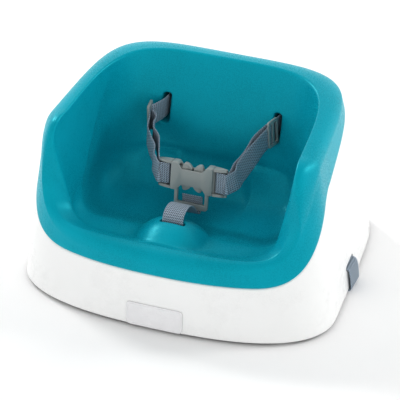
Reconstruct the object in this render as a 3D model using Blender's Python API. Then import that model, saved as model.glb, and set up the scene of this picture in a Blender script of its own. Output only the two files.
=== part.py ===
"""Toddler booster seat: a tapered plastic base that holds a moulded foam seat with a harness.

Metres, +Z up, the front faces -Y, and the origin is on the floor under the middle of the base.
"""

import math

import bmesh
import bpy
import numpy as np
from mathutils import Vector

# Gaps and walls
GAP = 0.0003
WALL = 0.003

# Base: half widths at the floor, how fast they shrink with height, and the corner exponents
SHAPE_Y = -0.0627
HALF_WIDTH = 0.1875
FRONT_DEPTH = 0.0972
REAR_DEPTH = 0.2226
SIDE_TAPER = 0.13
FRONT_TAPER = 0.07
REAR_TAPER = 0.24
PLAN_TAPER = 0.5
FRONT_POWER = (2.5, 2.0)
REAR_POWER = (8.0, 5.45)
POWER_HEIGHT = 0.2
BASE_BOTTOM = 0.004
DECK_Z = 0.052
LEDGE = 0.014
DECK_PLAN = (0.146, 0.066, 0.150, 2.6, 4.5)

# Heights of the base's top edge and of the seat's rim: front, arm and rear, then where they rise
EDGE_HEIGHTS = (0.073, 0.160, 0.211)
EDGE_RISE = (-0.0786, 0.0278, 0.2026)
RIM_HEIGHTS = (0.1006, 0.2104, 0.225)
RIM_RISE = (-0.080, -0.0405, -0.002, 0.1456)
RIM_SPREAD = (0.0026, 0.020)
RIM_PLAN = (0.1398, 0.0742, 0.1456, 4.41, 4.18)
RIM_DROP = 0.016
SHOULDER_RISE = (-0.085, 0.004, 0.1456)
APRON_OUT = 0.0010

# Inside of the seat
WALL_FOOT_PLAN = (0.126, 0.063, 0.108, 3.4, 4.6)
FLOOR_PLAN = (0.097, 0.044, 0.080, 2.8, 3.2)
FILLET_HEIGHTS = (0.006, 0.036)
FILLET_RISE = (-0.060, 0.0)
FLOOR_Z = 0.081
LEG_RISE = 0.009
LEG_RUN = (-0.04, 0.06)

# Mound between the legs: top, half width, where its front and rear slopes start, and how they fall
POMMEL = (0.1115, 0.044, -0.104, -0.094)
POMMEL_FALL = ((0.034, 2.6), (0.013, 0.032, 1.6), (0.034, 0.036, 1.8))

# Ledges beside the hips: top, front edge, slope, and where they end towards the middle
LEDGES = (0.1110, 0.0390, 1.15)
LEDGE_SPAN = (0.018, 0.050)
LEDGE_DROP = 0.034
BLENDS = (0.005, 0.004)

# Harness
WAIST_SLOT = Vector((0.0685, 0.061, 0.158))
SLOT_SIZE = (0.0105, 0.036)
WAIST_WEB = 0.025
CROTCH_SLOT = Vector((0, -0.098, 0.111))
CROTCH_WEB = 0.025
WEB = 0.0014
BUCKLE = Vector((0, -0.033, 0.131))
BUCKLE_TILT = math.radians(-10)

# Chair strap
CHAIR_SLOT = Vector((0.177, 0.005, 0.031))
CHAIR_WEB = 0.028
CHAIR_BUCKLE = Vector((0, 0.005, 0.013))

# Buckles: half sizes of the housing, then the clips that go into it
HOUSING = (0.0252, 0.00625, 0.0168)
TUNNEL = (0.0036, 0.0143)
NOTCH = ((0.0124, 0.0097), (0.0205, 0.0200))
PLATE_X = (0.0256, 0.0266)
NECK = (0.0228, 0.0031, 0.0135)
TONGUE = (0.0030, 0.0235, 0.0030, 0.0060)
RAIL = (0.0137, 0.0168, 0.0030)
FRAME_END = 0.0417
CROSS_BARS = ((0.0302, 0.0340, 0.0030), (0.0380, 0.0410, 0.0022))
POST = (0.0040, 0.0090, 0.0090)
ARM_ROOT = (0.0225, 0.0096)
ARM_THICK = 0.0054
RING_HALF = 0.0186
RING_BAR = 0.004
RING_Y = -0.002
RING_ENDS = (-0.0150, -0.0310, -0.0379)
GLIDE = (0.019, 0.0030, 0.0344)
PLATE = (0.016, 0.003, 0.046)

# Feet and badge
FOOT_RADIUS = 0.0105
FOOT_INSET = 0.015
FOOT_ANGLES = (-24, 43, 137, 204)
FOOT_NAMES = ("front_right", "rear_right", "rear_left", "front_left")
BADGE = (0.034, 0.0145, 0.019)
BADGE_CORNER = 0.005
BADGE_THICK = 0.0012

AROUND = 88


def clear_scene():
    for thing in list(bpy.data.objects):
        bpy.data.objects.remove(thing, do_unlink=True)


def material(name, colour, roughness, metallic=0.0):
    made = bpy.data.materials.new(name)
    made.use_nodes = True
    shader = made.node_tree.nodes["Principled BSDF"]
    shader.inputs["Base Color"].default_value = (*colour, 1)
    shader.inputs["Roughness"].default_value = roughness
    shader.inputs["Metallic"].default_value = metallic
    return made


def add_object(name, mesh, look, parent=None, smooth=True):
    made = bpy.data.objects.new(name, mesh)
    mesh.materials.append(look)
    bpy.context.scene.collection.objects.link(made)
    if smooth:
        mesh.shade_smooth()
        mesh.set_sharp_from_angle(angle=math.radians(40))
    made.parent = parent
    return made


def mesh_of(name, build):
    """A mesh that the function build fills, with its faces turned outwards."""
    work = bmesh.new()
    build(work)
    bmesh.ops.recalc_face_normals(work, faces=work.faces)
    mesh = bpy.data.meshes.new(name)
    work.to_mesh(mesh)
    work.free()
    return mesh


def power_radius(angle, plan):
    """Distance from the middle to a rounded oblong whose front and rear halves differ."""
    half, front, rear, n_front, n_rear = plan
    c = abs(math.cos(angle))
    s = math.sin(angle)
    depth, n = (front, n_front) if s < 0 else (rear, n_rear)
    return ((c / half) ** n + (abs(s) / depth) ** n) ** (-1 / n)


def plan_point(angle, plan):
    """Plan position of the outline in the shape's own frame, before SHAPE_Y moves it."""
    r = power_radius(angle, plan)
    x = r * math.cos(angle)
    y = r * math.sin(angle)
    return x * (1 - PLAN_TAPER * y), y


def base_plan(z, inset=0.0):
    share = z / POWER_HEIGHT
    n_front = FRONT_POWER[0] + (FRONT_POWER[1] - FRONT_POWER[0]) * share
    n_rear = REAR_POWER[0] + (REAR_POWER[1] - REAR_POWER[0]) * share
    return (
        HALF_WIDTH - SIDE_TAPER * z - inset,
        FRONT_DEPTH - FRONT_TAPER * z - inset,
        REAR_DEPTH - REAR_TAPER * z - inset,
        n_front,
        n_rear,
    )


def smooth_step(value, start, end):
    t = min(max((value - start) / (end - start), 0), 1)
    return t * t * (3 - 2 * t)


def rising(y, heights, rise):
    """A height that steps up from the front to the arms and then climbs evenly to the rear."""
    front, arm, rear = heights
    start, knee, end = rise
    climb = min(max((y - knee) / (end - knee), 0), 1)
    return front + (arm - front) * smooth_step(y, start, knee) + (rear - arm) * climb


def height_on_side(angle, heights, rise):
    """Height at which the leaning outer side meets a rising curve."""
    z = sum(heights) / 3
    for _ in range(20):
        y = plan_point(angle, base_plan(z))[1]
        z = 0.5 * z + 0.5 * rising(y, heights, rise)
    return z


def edge_z(angle):
    """Height at which the base's outer surface ends."""
    return height_on_side(angle, EDGE_HEIGHTS, EDGE_RISE)


def shoulder_z(angle):
    """Height at which the seat's outer side starts to roll over to the rim."""
    return height_on_side(angle, [height - RIM_DROP for height in RIM_HEIGHTS], SHOULDER_RISE)


def at(angle, plan, z):
    x, y = plan_point(angle, plan)
    return Vector((x, y + SHAPE_Y, z))


def rim_point(angle):
    """The rim's inner edge: low in front, then a steep rounded step up to the arms, then level to the rear."""
    x, y = plan_point(angle, RIM_PLAN)
    front, arm, rear = RIM_HEIGHTS
    start, middle, knee, end = RIM_RISE
    half = (arm - front) / 2
    if y < middle:
        share = min(max((y - start) / (middle - start), 0), 1)
        z = front + half * (1 - math.sqrt(1 - share**2))
    else:
        share = min(max((knee - y) / (knee - middle), 0), 1)
        climb = min(max((y - knee) / (end - knee), 0), 1)
        z = arm - half * (1 - (1 - share**3) ** (1 / 3)) + (rear - arm) * climb
    x += math.copysign(RIM_SPREAD[0] * math.exp(-(((y - middle) / RIM_SPREAD[1]) ** 2)), x)
    return Vector((x, y + SHAPE_Y, z))


def even_angles(count):
    """Angles at even steps along the rim and the outline together."""
    fine = np.linspace(-math.pi / 2, 1.5 * math.pi, 2880)
    outline = np.array([plan_point(a, base_plan(0.1)) for a in fine])
    rim = np.array([list(rim_point(a)) for a in fine])
    steps = np.linalg.norm(np.diff(outline, axis=0), axis=1) + np.linalg.norm(np.diff(rim, axis=0), axis=1)
    run = np.concatenate([[0], np.cumsum(steps)])
    return np.interp(np.arange(count) * run[-1] / count, run, fine)


def smooth_max(a, b, blend):
    return 0.5 * (a + b + math.sqrt((a - b) ** 2 + blend**2))


def floor_z(y):
    """Height of the seat's floor, which rises towards the knees."""
    return FLOOR_Z + LEG_RISE * (1 - smooth_step(y - SHAPE_Y, *LEG_RUN))


def pommel(x, y):
    """Top of the mound between the legs: it runs out to the front rim and drops away at the rear."""
    top, half, front, rear = POMMEL
    side_fall, front_fall, rear_fall = POMMEL_FALL
    across = side_fall[0] * (abs(x) / half) ** side_fall[1]
    ahead = front_fall[0] * (max(front - y, 0) / front_fall[1]) ** front_fall[2]
    behind = rear_fall[0] * (max(y - rear, 0) / rear_fall[1]) ** rear_fall[2]
    return top - across - ahead - behind


def hip_ledges(x, y):
    """Top of the ledges beside the hips, with a slope in front of them and a hollow between them."""
    top, front, steepness = LEDGES
    face = max((front - y) * steepness, 0)
    between = LEDGE_DROP * (1 - smooth_step(abs(x), *LEDGE_SPAN))
    return top - face - between


def wall_point(angle, part):
    """A point of the seat's inner wall: 0 at the rim, 1 where the fillet starts."""
    start = at(angle, WALL_FOOT_PLAN, 0)
    foot = at(angle, FLOOR_PLAN, 0)
    low, high = FILLET_HEIGHTS
    start.z = floor_z(foot.y) + low + (high - low) * smooth_step(start.y - SHAPE_Y, *FILLET_RISE)
    return rim_point(angle).lerp(start, part)


def fillet_point(angle, part):
    """A point of the fillet between the wall and the floor, as a quarter of an ellipse."""
    start = wall_point(angle, 1)
    foot = at(angle, FLOOR_PLAN, 0)
    turn = part * math.pi / 2
    point = start.lerp(foot, 1 - math.cos(turn))
    point.z = start.z + (floor_z(foot.y) - start.z) * math.sin(turn)
    return point


def raised(point):
    """The point lifted to the mound and the ledges where they stand above it."""
    point.z = smooth_max(point.z, pommel(point.x, point.y), BLENDS[0])
    point.z = smooth_max(point.z, hip_ledges(point.x, point.y), BLENDS[1])
    return point


def seat_top(angle):
    """The seat's upper side from the apron's lower edge over the rim to the middle of the floor."""
    low = edge_z(angle) + GAP
    rim = rim_point(angle)
    shoulder = shoulder_z(angle)
    column = [at(angle, base_plan(low, -APRON_OUT), low)]
    for share in (0.45, 0.9):
        z = low + (shoulder - low) * share
        column.append(at(angle, base_plan(z, -APRON_OUT), z))
    outer = at(angle, base_plan(shoulder, -APRON_OUT), shoulder)
    for step in range(1, 5):
        turn = step * math.pi / 8
        point = outer.lerp(rim, 0.86 * (1 - math.cos(turn)))
        point.z = shoulder + (rim.z - 0.0008 - shoulder) * math.sin(turn)
        column.append(point)
    column.append(rim)
    column.append(wall_point(angle, 0.05))
    column += [raised(wall_point(angle, part)) for part in (0.25, 0.5, 0.75, 1)]
    column += [raised(fillet_point(angle, part)) for part in (0.2, 0.4, 0.6, 0.8, 1)]
    foot = at(angle, FLOOR_PLAN, 0)
    middle = Vector((0, SHAPE_Y, 0))
    for share in (0.88, 0.76, 0.64, 0.52, 0.4, 0.28, 0.15):
        point = middle.lerp(foot, share)
        point.z = floor_z(point.y)
        column.append(raised(point))
    return column


def basin_point(angle, share, grow):
    """A point of the base's inner wall, from the ledge down to the deck, moved out by grow."""
    z = edge_z(angle)
    top = at(angle, base_plan(z, LEDGE - grow), z)
    plan = DECK_PLAN
    low = at(angle, (plan[0] + grow, plan[1] + grow, plan[2] + grow, plan[3], plan[4]), DECK_Z)
    return top.lerp(low, share)


def basin_column(angle, grow, lift):
    """The basin from the ledge's inner edge to the deck; grow moves it out and lift moves it up."""
    column = []
    for share in (0.0, 0.4, 0.8):
        column.append(basin_point(angle, share, grow))
    column[0].z += lift
    low = basin_point(angle, 1, grow)
    plan = [size - 0.012 for size in DECK_PLAN[:3]] + list(DECK_PLAN[3:])
    corner = at(angle, plan, DECK_Z + lift)
    bend = low.lerp(corner, 0.3)
    bend.z = DECK_Z + lift + 0.003
    column += [bend, corner]
    for share in (0.6, 0.25):
        column.append(Vector((0, SHAPE_Y, DECK_Z + lift)).lerp(corner, share))
    return column


def lofted(upper, lower, middle_z):
    """Closes two sheets of columns, each ending near the middle, along their first points."""

    def build(work):
        grids = []
        for columns, z in ((upper, middle_z[0]), (lower, middle_z[1])):
            rows = [[work.verts.new(point) for point in column] for column in columns]
            centre = work.verts.new((0, SHAPE_Y, z))
            grids.append(rows)
            for one, two in zip(rows, rows[1:] + rows[:1]):
                for a, b, c, d in zip(one, one[1:], two[1:], two):
                    work.faces.new((a, b, c, d))
                work.faces.new((one[-1], centre, two[-1]))
        for one, two in zip(zip(*grids), zip(*[rows[1:] + rows[:1] for rows in grids])):
            work.faces.new((one[0][0], two[0][0], two[1][0], one[1][0]))

    return build


def box(size, place=(0, 0, 0), bevel=0.0):
    """A box as a fresh mesh, with its edges rounded by bevel."""
    work = bmesh.new()
    bmesh.ops.create_cube(work, size=1)
    bmesh.ops.scale(work, vec=size, verts=work.verts)
    bmesh.ops.translate(work, vec=place, verts=work.verts)
    if bevel:
        bmesh.ops.bevel(work, geom=work.edges, offset=bevel, segments=2, affect="EDGES", profile=0.5)
    mesh = bpy.data.meshes.new("box")
    work.to_mesh(mesh)
    work.free()
    return mesh


def cylinder(radius, height, place, sides=24, top_radius=None):
    """An upright cylinder, or a cone where its top has another radius."""
    work = bmesh.new()
    bmesh.ops.create_cone(
        work, cap_ends=True, segments=sides, radius1=radius, radius2=top_radius or radius, depth=height
    )
    bmesh.ops.translate(work, vec=place, verts=work.verts)
    mesh = bpy.data.meshes.new("cylinder")
    work.to_mesh(mesh)
    work.free()
    return mesh


def tool(mesh, parent=None):
    """A hidden helper object for a Boolean."""
    made = bpy.data.objects.new("tool", mesh)
    bpy.context.scene.collection.objects.link(made)
    made.hide_render = True
    made.display_type = "WIRE"
    made.parent = parent
    return made


def boolean(target, mesh, operation, parent=None):
    step = target.modifiers.new(operation.lower(), "BOOLEAN")
    step.operation = operation
    step.solver = "EXACT"
    step.object = tool(mesh, parent)


def curve_through(points, count):
    """Evenly spaced points on a smooth curve through the given ones."""
    points = [Vector(p) for p in points]
    ends = [2 * points[0] - points[1]] + points + [2 * points[-1] - points[-2]]
    fine = []
    for a, b, c, d in zip(ends, ends[1:], ends[2:], ends[3:]):
        for step in range(20):
            t = step / 20
            fine.append(
                0.5 * (2 * b + (c - a) * t + (2 * a - 5 * b + 4 * c - d) * t * t + (3 * b - a - 3 * c + d) * t**3)
            )
    fine.append(points[-1])
    run = np.concatenate([[0], np.cumsum([(q - p).length for p, q in zip(fine, fine[1:])])])
    wanted = np.linspace(0, run[-1], count)
    rows = np.array([list(p) for p in fine])
    return [Vector([float(np.interp(w, run, rows[:, i])) for i in range(3)]) for w in wanted]


def ribbon(points, edges, width, thickness, count=24):
    """A webbing strip along a path; edges gives the direction of its width at each path point."""
    path = curve_through(points, count)
    spots = np.linspace(0, 1, len(edges))
    rows = np.array([list(Vector(e).normalized()) for e in edges])

    def build(work):
        loops = []
        for i, point in enumerate(path):
            along = (path[min(i + 1, count - 1)] - path[max(i - 1, 0)]).normalized()
            share = i / (count - 1)
            side = Vector([float(np.interp(share, spots, rows[:, k])) for k in range(3)])
            side = (side - along * side.dot(along)).normalized()
            face = along.cross(side)
            half = side * width / 2
            thin = face * thickness / 2
            loops.append([work.verts.new(point + s * half + t * thin) for s, t in ((1, 1), (-1, 1), (-1, -1), (1, -1))])
        for one, two in zip(loops, loops[1:]):
            for k in range(4):
                work.faces.new((one[k], one[(k + 1) % 4], two[(k + 1) % 4], two[k]))
        work.faces.new(loops[0])
        work.faces.new(loops[-1][::-1])

    return build


def outline_solid(outline, thickness):
    """An outline in X and Z, extruded along Y about its middle."""

    def build(work):
        front = work.faces.new([work.verts.new((x, -thickness / 2, z)) for x, z in outline])
        grown = bmesh.ops.extrude_face_region(work, geom=[front])
        moved = [item for item in grown["geom"] if isinstance(item, bmesh.types.BMVert)]
        bmesh.ops.translate(work, vec=(0, thickness, 0), verts=moved)

    return build


def empty(name, place, tilt=0.0):
    made = bpy.data.objects.new(name, None)
    bpy.context.scene.collection.objects.link(made)
    made.location = place
    made.rotation_euler.x = tilt
    return made


def make_base(looks):
    outer = []
    inner = []
    for angle in even_angles(AROUND):
        top = edge_z(angle)
        skin = []
        lining = []
        for share in (0.0, 0.3, 0.6, 0.88):
            z = BASE_BOTTOM + (top - BASE_BOTTOM) * share
            skin.append(at(angle, base_plan(z), z))
            lining.append(at(angle, base_plan(z, WALL), z))
        for inset, drop in ((0.0, 0.003), (0.0009, 0.0009), (0.003, 0.0)):
            z = top - drop
            skin.append(at(angle, base_plan(z, inset), z))
        for inset in (WALL + 0.0005, LEDGE - WALL - 0.0015):
            z = top - WALL
            lining.append(at(angle, base_plan(z, inset), z))
        outer.append(skin + basin_column(angle, 0.0, 0.0))
        inner.append(lining + basin_column(angle, WALL, -WALL)[1:])
    mesh = mesh_of("base_shell", lofted(outer, inner, (DECK_Z, DECK_Z - WALL)))
    base = add_object("base_shell", mesh, looks["white"])
    for place in foot_places():
        boss = cylinder(FOOT_RADIUS + 0.0015, 0.0115, (place.x, place.y, 0.01225))
        boolean(base, boss, "UNION")
    for side in (1, -1):
        place = (side * CHAIR_SLOT.x, CHAIR_SLOT.y, CHAIR_SLOT.z)
        boolean(base, box((0.030, CHAIR_WEB + 0.004, 0.006), place), "DIFFERENCE")
    return base


def foot_places():
    return [at(math.radians(turn), base_plan(0, FOOT_INSET), 0) for turn in FOOT_ANGLES]


def make_feet(looks):
    for name, place in zip(FOOT_NAMES, foot_places()):
        mesh = cylinder(FOOT_RADIUS - 0.0015, 0.0062, (0, 0, 0.0031), top_radius=FOOT_RADIUS)
        foot = add_object("foot_" + name, mesh, looks["rubber"])
        foot.location = place


def front_y(x, z):
    """Where the base's front surface lies at this x and height."""
    half, front, _, power, _ = base_plan(z)
    y = -front
    for _ in range(12):
        wide = min(abs(x) / (1 - PLAN_TAPER * y) / half, 0.999)
        y = -front * (1 - wide**power) ** (1 / power)
    return y + SHAPE_Y


def make_badge(looks):
    half_x, half_z, middle = BADGE
    turns = np.linspace(0, math.pi / 2, 5)
    ends = [half_x - BADGE_CORNER * (1 - math.cos(t)) for t in turns]
    rise = [half_z - BADGE_CORNER * (1 - math.sin(t)) for t in turns]
    xs = [-x for x in ends] + list(np.linspace(-half_x + 2 * BADGE_CORNER, half_x - 2 * BADGE_CORNER, 7)) + ends[::-1]
    heights = rise + [half_z] * 7 + rise[::-1]

    def build(work):
        sheets = []
        for out in (GAP, GAP + BADGE_THICK):
            rows = []
            for x, height in zip(xs, heights):
                spots = [middle + height * share for share in (-1, -0.33, 0.33, 1)]
                rows.append([work.verts.new((x, front_y(x, z) - out, z)) for z in spots])
            sheets.append(rows)
        for rows in sheets:
            for one, two in zip(rows, rows[1:]):
                for k in range(3):
                    work.faces.new((one[k], one[k + 1], two[k + 1], two[k]))
        rims = []
        for rows in sheets:
            low = [row[0] for row in rows]
            high = [row[-1] for row in rows[::-1]]
            rims.append(low + rows[-1][1:-1] + high + rows[0][1:-1][::-1])
        for k in range(len(rims[0])):
            j = (k + 1) % len(rims[0])
            work.faces.new((rims[0][k], rims[0][j], rims[1][j], rims[1][k]))

    add_object("front_badge", mesh_of("front_badge", build), looks["badge"])


def make_seat(looks):
    angles = even_angles(AROUND)
    upper = [seat_top(angle) for angle in angles]
    lower = []
    for angle in angles:
        z = edge_z(angle) + GAP
        ledge = [at(angle, base_plan(z, inset), z) for inset in (0.003, LEDGE + GAP)]
        lower.append(ledge + basin_column(angle, -GAP, GAP)[1:])
    middle = floor_z(SHAPE_Y)
    mesh = mesh_of("seat_insert", lofted(upper, lower, (middle, DECK_Z + GAP)))
    seat = add_object("seat_insert", mesh, looks["teal"])
    for side in (1, -1):
        x = side * WAIST_SLOT.x
        slot = box((SLOT_SIZE[0], 0.070, SLOT_SIZE[1]), (x, WAIST_SLOT.y, WAIST_SLOT.z))
        pocket = box((0.022, 0.060, 0.052), (x, WAIST_SLOT.y + 0.049, WAIST_SLOT.z))
        boolean(seat, slot, "DIFFERENCE")
        boolean(seat, pocket, "DIFFERENCE")
    slot = box((CROTCH_WEB + 0.007, 0.007, 0.080), (0, CROTCH_SLOT.y, CROTCH_SLOT.z))
    pocket = box((0.050, 0.022, 0.060), (0, CROTCH_SLOT.y, 0.067))
    boolean(seat, slot, "DIFFERENCE")
    boolean(seat, pocket, "DIFFERENCE")


def make_anchors(looks):
    """Slotted plates that stop the harness webbing from pulling through the foam."""
    for side, name in ((1, "right"), (-1, "left")):
        place = (side * WAIST_SLOT.x, WAIST_SLOT.y + 0.0215, WAIST_SLOT.z)
        plate = add_object("waist_anchor_" + name, box(PLATE, bevel=0.0006), looks["grey"])
        plate.location = place
        boolean(plate, box((0.0042, 0.02, WAIST_WEB + 0.002)), "DIFFERENCE", plate)
    plate = add_object("crotch_anchor", box((0.046, 0.016, 0.003), bevel=0.0006), looks["grey"])
    plate.location = (0, CROTCH_SLOT.y, 0.0945)
    boolean(plate, box((CROTCH_WEB + 0.002, 0.0042, 0.02)), "DIFFERENCE", plate)


def make_waist_webbing(looks):
    inside = WAIST_SLOT + Vector((0, 0.030, 0))
    right = [inside, WAIST_SLOT, (0.063, 0.042, 0.156), (0.058, 0.024, 0.150), (0.053, 0.004, 0.142)]
    right += [(0.049, -0.012, 0.137), (0.0475, -0.024, 0.133), (0.0448, BUCKLE.y, BUCKLE.z)]
    left = [(-inside.x, inside.y, inside.z), (-WAIST_SLOT.x, WAIST_SLOT.y, WAIST_SLOT.z)]
    left += [(-0.0715, 0.049, 0.159), (-0.0765, 0.036, 0.159), (-0.072, 0.022, 0.152), (-0.060, 0.001, 0.143)]
    left += [(-0.051, -0.018, 0.136), (-0.0448, BUCKLE.y, BUCKLE.z)]
    up = (0, 0, 1)
    lean = (0, 0.174, 0.985)
    right_edges = [up, up, up, up, (-0.4, -0.2, 0.88), (-0.4, -0.2, 0.88), (-0.1, 0.1, 0.98), lean]
    left_edges = [up, up, up, up, (0.1, -0.1, 1), (0.1, 0, 1), lean]
    for name, points, edges in (("right", right, right_edges), ("left", left, left_edges)):
        mesh = mesh_of("web", ribbon(points, edges, WAIST_WEB, 2 * WEB, 28))
        add_object("waist_webbing_" + name, mesh, looks["webbing"])


def make_crotch_webbing(looks):
    y = CROTCH_SLOT.y
    points = [(0, y, 0.088), (0, y, 0.104), (0, y + 0.001, 0.112), (0, -0.088, 0.1195), (0, -0.075, 0.1215)]
    points += [(0, -0.059, 0.1150), (0, -0.0475, 0.1050)]
    mesh = mesh_of("web", ribbon(points, [(1, 0, 0), (1, 0, 0)], CROTCH_WEB, WEB, 22))
    add_object("crotch_webbing", mesh, looks["webbing"])


def glide_mesh():
    """An adjuster: a flat frame with two slots and a bar between them."""
    return box(GLIDE, bevel=0.0008)


def make_glide(name, looks, place, turn, tilt=0.0):
    glide = add_object(name, glide_mesh(), looks["grey"])
    glide.location = place
    glide.rotation_euler = (tilt, 0, turn)
    for x in (-0.0041, 0.0041):
        boolean(glide, box((0.0048, 0.01, WAIST_WEB + 0.0012), (x, 0, 0)), "DIFFERENCE", glide)


def housing_with_tunnel(name, looks, frame, reach):
    """The buckle's housing; reach is how far its tunnel runs to each side."""
    half_x, half_y, half_z = HOUSING
    body = add_object(name, box([2 * half_x, 2 * half_y, 2 * half_z], bevel=0.0015), looks["grey"], frame)
    low, high = reach
    tunnel = box((high - low, 2 * TUNNEL[0], 2 * TUNNEL[1]), ((low + high) / 2, 0, 0))
    boolean(body, tunnel, "DIFFERENCE", frame)
    (narrow, bottom), (wide, top) = NOTCH
    for up in (1, -1):
        outline = [(-narrow, up * bottom), (narrow, up * bottom), (wide, up * top), (-wide, up * top)]
        boolean(body, mesh_of("notch", outline_solid(outline, 0.03)), "DIFFERENCE", frame)
    return body


def web_frame(target, frame, side, start):
    """Rails and the bars that the webbing goes round, from start to the end of a buckle piece."""
    low, high, half_thick = RAIL
    for up in (1, -1):
        size = (FRAME_END - start, 2 * half_thick, high - low)
        place = (side * (FRAME_END + start) / 2, 0, up * (low + high) / 2)
        boolean(target, box(size, place), "UNION", frame)
    for inner, outer, thick in CROSS_BARS:
        size = (outer - inner, thick, low + high)
        boolean(target, box(size, (side * (inner + outer) / 2, 0, 0)), "UNION", frame)


def make_clip(name, looks, frame, side):
    """A plug: plate, neck, centre tongue and web frame. Its two sprung arms are separate."""
    low, high = PLATE_X
    plate = box((high - low, 0.0056, 2 * HOUSING[2] - 0.0002), (side * (low + high) / 2, 0, 0))
    clip = add_object(name, plate, looks["grey"], frame)
    start, half_y, half_z = NECK
    neck = box((high - 0.0003 - start, 2 * half_y, 2 * half_z), (side * (high - 0.0003 + start) / 2, 0, 0))
    boolean(clip, neck, "UNION", frame)
    inner, outer, thick, tall = TONGUE
    boolean(clip, box((outer - inner, thick, tall), (side * (inner + outer) / 2, 0, 0)), "UNION", frame)
    web_frame(clip, frame, side, low)


def make_arm(name, looks, frame, side, up):
    """A sprung arm with its squeeze tab. Its origin is where it bends."""
    profile = [(0, -0.0013), (0.0205, -0.0013), (0.0215, 0.0002), (0.0202, 0.0018), (0.0165, 0.0036)]
    profile += [(0.0130, 0.0040), (0.0110, 0.0033), (0.0098, 0.0013), (0, 0.0013)]
    outline = [(-side * u, up * v) for u, v in profile]
    arm = add_object(name, mesh_of("arm", outline_solid(outline, ARM_THICK)), looks["grey"], frame)
    arm.location = (side * ARM_ROOT[0], 0, up * ARM_ROOT[1])


def make_harness_buckle(looks):
    frame = empty("buckle_frame", BUCKLE, BUCKLE_TILT)
    body = housing_with_tunnel("buckle_body", looks, frame, (-0.03, 0.03))
    boolean(body, box(POST), "UNION", frame)
    top, bar_top, bottom = RING_ENDS
    for side in (1, -1):
        place = (side * RING_HALF, RING_Y, (top + bottom) / 2)
        boolean(body, box((RING_BAR, RING_BAR - 0.0002, top - bottom), place), "UNION", frame)
    size = (2 * RING_HALF + RING_BAR - 0.0002, RING_BAR - 0.0004, bar_top - bottom - 0.0002)
    boolean(body, box(size, (0, RING_Y, (bar_top + bottom) / 2)), "UNION", frame)
    for side, name in ((1, "right"), (-1, "left")):
        make_clip("buckle_clip_" + name, looks, frame, side)
        make_arm("squeeze_arm_%s_upper" % name, looks, frame, side, 1)
        make_arm("squeeze_arm_%s_lower" % name, looks, frame, side, -1)


def make_chair_buckle(looks):
    frame = empty("chair_buckle_frame", CHAIR_BUCKLE, -math.pi / 2)
    socket = housing_with_tunnel("chair_socket", looks, frame, (-0.010, 0.03))
    web_frame(socket, frame, -1, HOUSING[0] - 0.002)
    make_clip("chair_clip", looks, frame, 1)
    make_arm("chair_arm_rear", looks, frame, 1, 1)
    make_arm("chair_arm_front", looks, frame, 1, -1)


def make_chair_straps(looks):
    y = CHAIR_SLOT.y
    z = CHAIR_SLOT.z
    for side, name in ((1, "right"), (-1, "left")):
        points = [(0.157, z), (0.168, z), (0.1765, z), (0.1808, z - 0.0022), (0.1828, 0.0225), (0.1838, 0.0130)]
        points += [(0.1844, 0.0062), (0.1824, 0.0020), (0.175, 0.0013), (0.160, 0.0013), (0.120, 0.0022), (0.080, 0.0095)]
        points += [(0.060, CHAIR_BUCKLE.z), (0.0432, CHAIR_BUCKLE.z)]
        path = [(side * px, y, pz) for px, pz in points]
        mesh = mesh_of("web", ribbon(path, [(0, 1, 0), (0, 1, 0)], CHAIR_WEB, WEB, 40))
        add_object("chair_strap_" + name, mesh, looks["webbing"])
        bar = add_object("chair_anchor_" + name, box((0.005, 0.034, 0.012), bevel=0.001), looks["grey"])
        bar.location = (side * 0.154, y, z)
    make_glide("chair_slider", looks, (-0.135, y, 0.0046), 0.0, math.pi / 2)


def build_all():
    clear_scene()
    looks = {
        "white": material("white_plastic", (0.87, 0.87, 0.86), 0.32),
        "badge": material("badge_plastic", (0.80, 0.80, 0.80), 0.28),
        "teal": material("teal_foam", (0.003, 0.31, 0.38), 0.45),
        "grey": material("grey_plastic", (0.19, 0.21, 0.21), 0.42),
        "rubber": material("grey_rubber", (0.25, 0.25, 0.25), 0.8),
        "webbing": material("grey_webbing", (0.19, 0.21, 0.24), 0.85),
    }
    make_base(looks)
    make_feet(looks)
    make_badge(looks)
    make_seat(looks)
    make_anchors(looks)
    make_waist_webbing(looks)
    make_crotch_webbing(looks)
    make_glide("tri_glide_right", looks, (0.0690, 0.0455, 0.158), math.radians(76))
    make_glide("tri_glide_left", looks, (-0.0815, 0.0350, 0.158), math.radians(-82))
    make_harness_buckle(looks)
    make_chair_buckle(looks)
    make_chair_straps(looks)


build_all()
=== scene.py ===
"""Looks of the toddler booster seat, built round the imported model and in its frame, in metres.

+Z is up, the seat's front faces -Y, and the origin is on the floor under its middle.
"""

import math

import bmesh
import bpy
import numpy as np
from mathutils import Matrix, Vector
from mathutils.bvhtree import BVHTree


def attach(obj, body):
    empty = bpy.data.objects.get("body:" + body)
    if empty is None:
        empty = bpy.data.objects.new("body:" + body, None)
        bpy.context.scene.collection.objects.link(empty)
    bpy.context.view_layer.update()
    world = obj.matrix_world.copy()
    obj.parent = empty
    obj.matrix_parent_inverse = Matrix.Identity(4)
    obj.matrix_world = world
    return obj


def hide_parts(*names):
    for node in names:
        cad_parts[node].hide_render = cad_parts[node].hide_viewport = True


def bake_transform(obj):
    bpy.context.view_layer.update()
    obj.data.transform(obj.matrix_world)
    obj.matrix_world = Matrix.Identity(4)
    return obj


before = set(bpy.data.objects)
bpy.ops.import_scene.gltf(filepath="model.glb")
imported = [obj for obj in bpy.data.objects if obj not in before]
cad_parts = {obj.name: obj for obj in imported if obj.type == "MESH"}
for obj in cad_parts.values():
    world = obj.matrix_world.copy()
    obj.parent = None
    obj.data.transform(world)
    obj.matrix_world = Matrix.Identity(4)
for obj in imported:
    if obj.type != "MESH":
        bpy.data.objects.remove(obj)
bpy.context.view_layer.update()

# Sizes shared with the solid model
GAP = 0.0003
WALL = 0.003

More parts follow.
